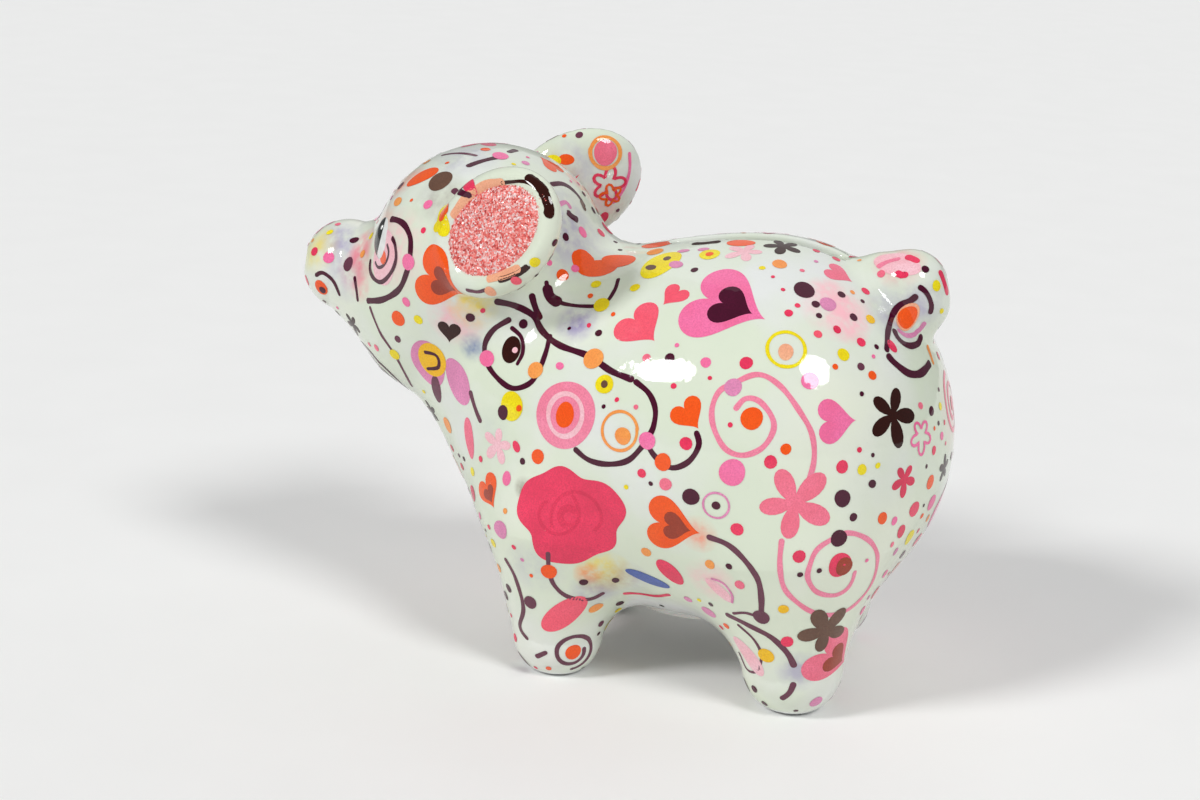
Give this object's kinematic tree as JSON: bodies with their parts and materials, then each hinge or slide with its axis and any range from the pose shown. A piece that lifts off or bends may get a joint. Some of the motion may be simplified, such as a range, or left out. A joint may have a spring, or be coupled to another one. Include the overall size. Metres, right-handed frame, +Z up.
{
  "type": "piggy bank",
  "caption": "Hollow glazed ceramic piggy bank with a printed floral pattern, glitter ear cups, a coin slot in the back and a soft belly plug with a pull tab.",
  "frame": {"origin": "on the ground under the middle of the pig's length, on its mid-plane", "axes": "+Z up, the pig looks along -Y, +X is the pig's left side"},
  "size_m": [0.094, 0.1635, 0.1234],
  "materials": {
    "glaze": "glossy printed glaze",
    "glitter": "glitter flakes in clear glue",
    "eye_white": "gloss enamel paint",
    "pupil": "gloss enamel paint",
    "soft_plug": "satin"
  },
  "bodies": {
    "bank": {"body_shell": "glaze", "ear_left": "glaze", "ear_right": "glaze", "tail": "glaze", "glitter_left": "glitter", "glitter_right": "glitter", "eye_left": "eye_white", "eye_right": "eye_white", "pupil_left": "pupil", "pupil_right": "pupil"},
    "plug": {"stopper": "soft_plug"},
    "tab": {"stopper_tab": "soft_plug"}
  },
  "joints": [
    {"name": "plug_pull", "type": "slide", "parent": "bank", "child": "plug", "axis": [0, 0, -1], "range_m": [0, 0.012]},
    {"name": "tab_lift", "type": "hinge", "parent": "plug", "child": "tab", "pos_m": [0, 0.01478, 0.016], "axis": [-1, 0, 0], "range_deg": [0, 105], "stiffness_Nm_per_rad": 0.001}
  ]
}
